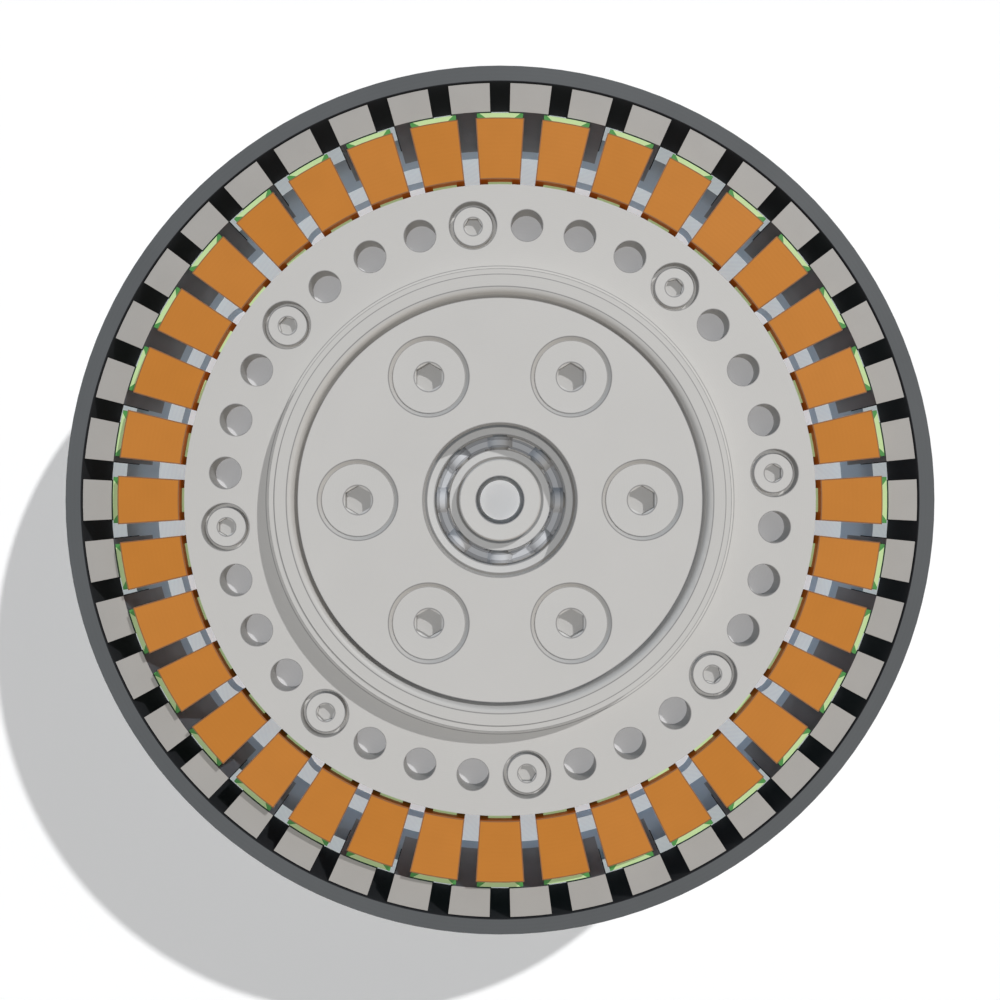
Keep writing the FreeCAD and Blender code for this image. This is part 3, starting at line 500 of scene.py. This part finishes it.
def nickel(name, cloud_scale):
    """Satin nickel plate with painted shade on the flanks."""
    finish = Finish(name, Metallic=0.06)
    spot = Spot(finish)
    pit = spot.noise(scale=5.5, detail=2.0)
    mix = spot.noise(cloud_scale) * 0.75 + pit * 0.25
    return finish.give(
        Base_Color=finish.blend(spot.level, MAGNET_FLANK_SHADE, varied(finish, mix, PLATE, spread=0.07)),
        Roughness=0.36 + mix * 0.20,
        Normal=relief(finish, pit, TOOL_DEPTH),
    )


north_finish = nickel("magnet_nickel_north", cloud_scale=0.16)
south_finish = nickel("magnet_nickel_south", cloud_scale=0.19)
print("nickel finishes:", north_finish.name, south_finish.name)

# %% [markdown]
# The core is a stack of thin stamped sheets under green epoxy. On its sides the edges of the
# sheets show through as fine level lines. Its two end faces carry a thicker, paler coat, which
# stops short of the thin corners of each tooth: the coat's half width tapers from the tip to the
# neck, and the fold compares it with the distance from the middle of the tooth.

# %% Coated core
TEETH = 36
CORE_LOW, CORE_HIGH = (corner[2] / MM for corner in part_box("stator_core"))
CORE_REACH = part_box("stator_core")[1][0] / MM
SHEET = 0.5
SHEET_DEPTH = 0.02 * MM
COAT_DEPTH = 0.45
COAT_HALF, COAT_TAPER, NECK_HALF = 3.0, 1.3, 1.8


def coated(name, side, end):
    """Epoxy over a stack of sheets: dark on the sides, pale on the two end faces."""
    finish = Finish(name, Specular_IOR_Level=0.4)
    spot = Spot(finish)
    cloud = spot.noise(scale=0.35)
    sheets = wave(spot.z * (2 * math.pi / SHEET))
    above = spot.z > CORE_HIGH - COAT_DEPTH
    below = spot.z < CORE_LOW + COAT_DEPTH
    _, aside = folded(spot, TEETH)
    half = (COAT_HALF - (CORE_REACH - spot.radius) * COAT_TAPER).math("MAXIMUM", NECK_HALF)
    ends = above.math("MAXIMUM", below) * (half > abs(aside))
    dark = varied(finish, cloud * 0.6 + sheets * 0.4, side, spread=0.15)
    return finish.give(
        Base_Color=finish.blend(ends, dark, varied(finish, cloud, end, spread=0.06)),
        Roughness=0.38 + cloud * 0.15,
        Normal=relief(finish, sheets * (1 - ends) + cloud * 0.4, SHEET_DEPTH),
    )


core_finish = coated("core_enamel", side=(0.055, 0.240, 0.050), end=(0.47, 0.66, 0.32))
print("core finish: end faces at", round(CORE_LOW, 2), "and", round(CORE_HIGH, 2), "mm")

# %% [markdown]
# The windings are wedge-shaped blocks, one on each tooth, and a line of painted shade runs along
# the edges of their ends too. The outline could be written down, but the mesh knows it already. The
# block that lies on the +X axis gives its widest slope and its two radii, and the fold serves the
# others.

# %% Outline of one winding
BLOCK_HALF = 5.0
one_block = [(v.co.x / MM, v.co.y / MM) for v in nodes["coils_a"].data.vertices
             if v.co.x > 0 and abs(v.co.y) < BLOCK_HALF * MM]
COIL_SLOPE = max(abs(y) / x for x, y in one_block)
COIL_FOOT = min(math.hypot(x, y) for x, y in one_block)
COIL_TIP = max(math.hypot(x, y) for x, y in one_block)
print("a winding reaches from", round(COIL_FOOT, 2), "to", round(COIL_TIP, 2), "mm")

# %% [markdown]
# Each winding is enamelled copper wire laid in level turns round its tooth. The turns could be
# modelled as a coil, but they are too fine to show as shapes at this size. One sine of the distance
# along the tooth gives them on the end and on the flanks, because every turn keeps its own
# distance. The flanks are written redder and darker than the ends as painted shade. The three
# phases differ by a hair.

# %% Wound wire
WIRE = 0.62
INSET = 0.08
# painted shade: the darker colour of the flanks of the windings
COIL_FLANK_SHADE = (0.42, 0.074, 0.0045)


def wound(name, colour):
    """Enamelled wire in level turns, for blocks that stand in a circle."""
    finish = Finish(name, Metallic=0.08, Specular_IOR_Level=0.2)
    spot = Spot(finish)
    along, aside = folded(spot, TEETH)
    outline = [
        abs(aside) - along * COIL_SLOPE + INSET,
        spot.radius - (COIL_FOOT + INSET),
        spot.radius - (COIL_TIP - INSET),
    ]
    turns = wave(along * (2 * math.pi / WIRE))
    cloud = spot.noise(scale=0.22)
    mix = cloud * 0.9 + turns * 0.1
    end = lined(spot, varied(finish, mix, colour, spread=0.05), outline)
    return finish.give(
        Base_Color=finish.blend(spot.level, varied(finish, mix, COIL_FLANK_SHADE, spread=0.1), end),
        Roughness=0.44 + cloud * 0.14 - turns * 0.06,
        Normal=relief(finish, turns, TOOL_DEPTH),
    )


wire_finishes = {
    "coils_a": wound("winding_copper_a", (0.488, 0.181, 0.027)),
    "coils_b": wound("winding_copper_b", (0.483, 0.178, 0.025)),
    "coils_c": wound("winding_copper_c", (0.493, 0.184, 0.029)),
}
print("wire of", WIRE, "mm on", len(wire_finishes), "phases")

# %% [markdown]
# The screws are plain steel with a forged hexagon socket. Their heads were turned, and the walls
# of the socket get painted shade, its floor less. They stand on circles, so the fold finds each
# head.

# %% Screws
HEAD_STEEL = (0.500, 0.490, 0.475)
# painted shade: how much the socket walls and floor are darkened
SOCKET_WALL_SHADE, SOCKET_FLOOR_SHADE = 1.0, 0.3


def screws(name, places=None, head=0.0, socket=0.0):
    """Steel screws. Those with places get lines of painted shade at head and socket, and painted
    shade in the socket.
    """
    def edges(spot):
        centre = from_repeat(spot, *places)
        return [centre - head, centre - socket]

    def painted_shade(spot):
        walls = (1 - spot.level) * (SOCKET_WALL_SHADE - SOCKET_FLOOR_SHADE)
        return (from_repeat(spot, *places) < socket) * (walls + SOCKET_FLOOR_SHADE)

    return turned(name, HEAD_STEEL, pitch=0.40, metallic=0.06, rough=0.50,
                  edges=places and edges, painted_shade=places and painted_shade)


output_screw_finish = screws("output_screw_steel", OUTPUT_SCREWS, head=5.2, socket=2.12)
flange_screw_finish = screws("flange_screw_steel", FLANGE_SCREWS, head=2.85, socket=1.36)
rotor_screw_finish = screws("rotor_screw_steel")
print("screws:", OUTPUT_SCREWS[1], "in the disc and", FLANGE_SCREWS[1], "in the flange")

# %% [markdown]
# The shaft is ground steel with a hole right through, and the wall of the long hole gets a dark
# painted shade. The carrier, the pins and the two rings that hold the bearing are of the same
# steel.

# %% Shaft
SHAFT_END, SHAFT_BORE = 6.0, 3.5
# painted shade: the dark colour written on the wall of the shaft's hole
BORE_SHADE = (0.27, 0.28, 0.29)


def shaft_edges(spot):
    """The outer and the inner edge of the hollow end."""
    return [spot.radius - SHAFT_END, spot.radius - SHAFT_BORE]


def shaft_bore_shade(spot):
    """Painted shade on the wall of the hole."""
    return spot.radius < SHAFT_BORE + BORE_EDGE


shaft_finish = turned("shaft_steel", (0.520, 0.512, 0.498), pitch=0.22, metallic=0.06, rough=0.48,
                      edges=shaft_edges, painted_shade=shaft_bore_shade, painted_shade_colour=BORE_SHADE)
print("shaft finish:", shaft_finish.name, "with a hole of", 2 * SHAFT_BORE, "mm")

# %% [markdown]
# A ball bearing is two ground rings with balls and a pressed ribbon between them. The one in the
# middle is open to view, so the radii are those of its edges. Its broken edges and what lies
# between its rings get painted shade, and the ribbon has rolled edges with painted shade outside
# them. The other two bearings are hidden inside and take the same finishes.

# %% Bearings
OUTER_BREAK, OUTER_TRACK = 10.7, 9.62
INNER_TRACK, INNER_BREAK = 7.42, 6.3
RACE_OUTSIDE = 11.1
BALL_SHADE = 9.52
CAGE_OUTER, CAGE_INNER = 8.95, 7.98


def race_edges(spot):
    """The edges of the two rings, and a line beside the outer one that falls on the balls, all
    lines of painted shade.
    """
    edges = (OUTER_BREAK, OUTER_TRACK, BALL_SHADE, INNER_TRACK, INNER_BREAK)
    return [spot.radius - edge for edge in edges]


def race_painted_shade(spot):
    """Painted shade on the broken outer and inner edges, and on the track and the balls between the
    rings.
    """
    outer = (spot.radius > OUTER_BREAK) * (spot.radius < RACE_OUTSIDE)
    track = (spot.radius > INNER_TRACK) * (spot.radius < OUTER_TRACK)
    return outer + track + (spot.radius < INNER_BREAK)


def cage_edges(spot):
    """The rolled edges of the ribbon."""
    return [spot.radius - CAGE_OUTER, spot.radius - CAGE_INNER]


def cage_painted_shade(spot):
    """Painted shade on the margins of the ribbon, outside its rolled edges."""
    return (spot.radius > CAGE_OUTER) + (spot.radius < CAGE_INNER)


race_finish = turned("race_steel", (0.495, 0.492, 0.485), pitch=0.18, metallic=0.08, rough=0.46,
                     edges=race_edges, painted_shade=race_painted_shade)
cage_finish = turned("cage_steel", (0.47, 0.48, 0.50), pitch=0.30, metallic=0.08, rough=0.60,
                     edges=cage_edges, painted_shade=cage_painted_shade)
print("bearing finishes:", race_finish.name, cage_finish.name)

# %% [markdown]
# The gears are hobbed steel, darker than the shaft, and run on bronze bushes. Both sit inside and
# show only when the part is taken to pieces, so plain turned metal will do for them.

# %% Gears and bushes
gear_finish = turned("gear_steel", (0.38, 0.38, 0.39), pitch=0.60, metallic=0.45, rough=0.48)
bronze_finish = turned("bush_bronze", (0.46, 0.30, 0.13), pitch=0.30, metallic=0.55, rough=0.45)
print("inner finishes:", gear_finish.name, bronze_finish.name)

# %% [markdown]
# Each packed piece keeps its own mesh, which is already the right shape. A finish goes on by
# clearing the piece's material slots and appending the new material.

# %% Put a finish on every piece
FINISHES = {
    "front_plate": plate_finish,
    "output_flange": disc_finish,
    "stator_hub": hub_finish,
    "rotor_cup": cup_finish,
    "flux_ring": flux_finish,
    "magnets_north": north_finish,
    "magnets_south": south_finish,
    "stator_core": core_finish,
    "sun_shaft": shaft_finish,
    "planet_pins": shaft_finish,
    "planet_carrier": shaft_finish,
    "bearing_retainer": shaft_finish,
    "output_circlip": shaft_finish,
    "plate_screws": flange_screw_finish,
    "rotor_screws": rotor_screw_finish,
    "output_screws": output_screw_finish,
    **wire_finishes,
}


def finish_of(name):
    """The finish of a piece, by its own name or by its kind."""
    if name in FINISHES:
        return FINISHES[name]
    if name.endswith("_cage"):
        return cage_finish
    if "_bearing_" in name:
        return race_finish
    if name.startswith("planet_bush"):
        return bronze_finish
    return gear_finish


for name, piece in nodes.items():
    piece.data.materials.clear()
    piece.data.materials.append(finish_of(name))
    for polygon in piece.data.polygons:
        polygon.material_index = 0
print("finished pieces:", len(nodes))

# %% [markdown]
# The photograph looks straight down the shaft, so the camera hangs on the axis above the part
# and its picture's up is the part's +Y. A wide angle close by shows the inner walls of the deep
# holes, which a long lens would hide.

# %% Camera
VIEW_ANGLE = 45.0
CAMERA_HEIGHT = 0.2138
camera = bpy.data.objects.new("camera", bpy.data.cameras.new("camera"))
camera.data.angle = math.radians(VIEW_ANGLE)
camera.data.clip_start = 0.01
camera.data.clip_end = 20.0
camera.location = (0.0, 0.0, CAMERA_HEIGHT)
bpy.context.scene.collection.objects.link(camera)
bpy.context.scene.camera = camera
print("camera at", CAMERA_HEIGHT, "m, angle", VIEW_ANGLE)

# %% [markdown]
# The floor is plain and pale, and it keeps the long shadow of a lamp at the upper right. For
# the camera it adds a little light of its own, so the paper white of the background doesn't ask
# for more light on the part; glossy and transmitted rays see the same floor. Its glow lights
# nothing, so it isn't sampled as a lamp: that would take the samples away from the real lamps.

# %% Floor
FLOOR_SIZE = 6.0
FLOOR_DROP = 0.0001
FLOOR_GLOW = 0.02


def shown(tree):
    """1 for what the camera, a reflection or a clear piece shows, 0 for light on the part."""
    camera_ray, glossy_ray, transmission_ray = (
        tree.node("ShaderNodeLightPath", out=kind)
        for kind in ("Is Camera Ray", "Is Glossy Ray", "Is Transmission Ray"))
    return (camera_ray + glossy_ray + transmission_ray).math("MINIMUM", 1.0)


bpy.ops.mesh.primitive_plane_add(size=FLOOR_SIZE, location=(0, 0, cad_box[0].z - FLOOR_DROP))
floor = bpy.context.object
floor.name = "floor"
paper = Finish("floor_paper", Roughness=0.9, Specular_IOR_Level=0.0, Emission_Strength=1.0)
fibre = Spot(paper).noise(scale=0.02)
paper.give(
    Base_Color=varied(paper, fibre, (0.99, 0.99, 0.99), spread=0.005),
    Emission_Color=paper.blend(shown(paper), (0.0, 0.0, 0.0), (FLOOR_GLOW,) * 3),
)
paper.material.cycles.emission_sampling = "NONE"
floor.data.materials.append(paper.material)
print("floor at", round(floor.location.z / MM, 2), "mm")

# %% [markdown]
# One lamp gives the shadow's direction, and the world gives part of the rest from all round.
# The narrow gaps between the windings would go black under those two alone, so four weak lamps
# without shadows fill them from all sides, like the even light inside a white studio tent. The two
# at the top of the picture are cool and the two at the bottom warm, which sets the walls apart, and
# on a level face the tints nearly cancel. The levels add up to 1 on a level surface, so a colour
# comes out about as it is written. Reflections of the white backdrop add a few hundredths to that.

# %% Lamps
KEY_FROM = Vector((0.490, 0.519, 0.700)).normalized()
KEY_LEVEL, SKY_LEVEL, FILL_LEVEL = 0.47, 0.10, 0.43
KEY_SPREAD, FILL_SPREAD = 1.2, 20.0
FILL_RISE = math.radians(40)
COOL, MILD, WARM = (0.80, 0.98, 1.20), (1.03, 1.00, 0.96), (1.10, 1.01, 0.90)
FILLS = {45: (0.03, COOL), 135: (0.26, COOL), 225: (0.32, MILD), 315: (0.39, WARM)}


def sun(name, level, towards, spread):
    """A far lamp that adds that level to a white level surface."""
    lamp = bpy.data.objects.new(name, bpy.data.lights.new(name, "SUN"))
    lamp.data.energy = level * math.pi / towards.z
    lamp.data.angle = math.radians(spread)
    lamp.rotation_euler = towards.to_track_quat("Z", "Y").to_euler()
    bpy.context.scene.collection.objects.link(lamp)
    return lamp


sun("key", KEY_LEVEL, KEY_FROM, KEY_SPREAD)
for turn, (share, tint) in FILLS.items():
    side = Vector((math.cos(math.radians(turn)), math.sin(math.radians(turn)), 0.0))
    towards = side * math.cos(FILL_RISE) + Vector((0, 0, math.sin(FILL_RISE)))
    fill = sun("fill_%d" % turn, FILL_LEVEL * share, towards, FILL_SPREAD)
    fill.data.color = tint
    fill.data.use_shadow = False
print("light on a level surface:", KEY_LEVEL + SKY_LEVEL + FILL_LEVEL)

# %% [markdown]
# The world is the studio's far wall. A white one could light the part by itself, but it would
# wash out the shadows. So it lights the part only weakly, while the camera and every reflection see
# it as white, and metal shows the same backdrop that stands behind it.

# %% World
BACKDROP = (0.97, 0.985, 1.0, 1.0)
world = bpy.data.worlds.new("studio")
world.use_nodes = True
bpy.context.scene.world = world
sky = Tree(world.node_tree)
backdrop = sky.tree.nodes["Background"]
sky.feed(backdrop.inputs["Color"], BACKDROP)
sky.feed(backdrop.inputs["Strength"], SKY_LEVEL + (1 - SKY_LEVEL) * shown(sky))
bpy.context.scene.view_settings.view_transform = "Standard"
print("world:", SKY_LEVEL, "on the part, white behind it")

# %% [markdown]
# The finishes change no sizes, so the dressed part keeps the box of the packed one.
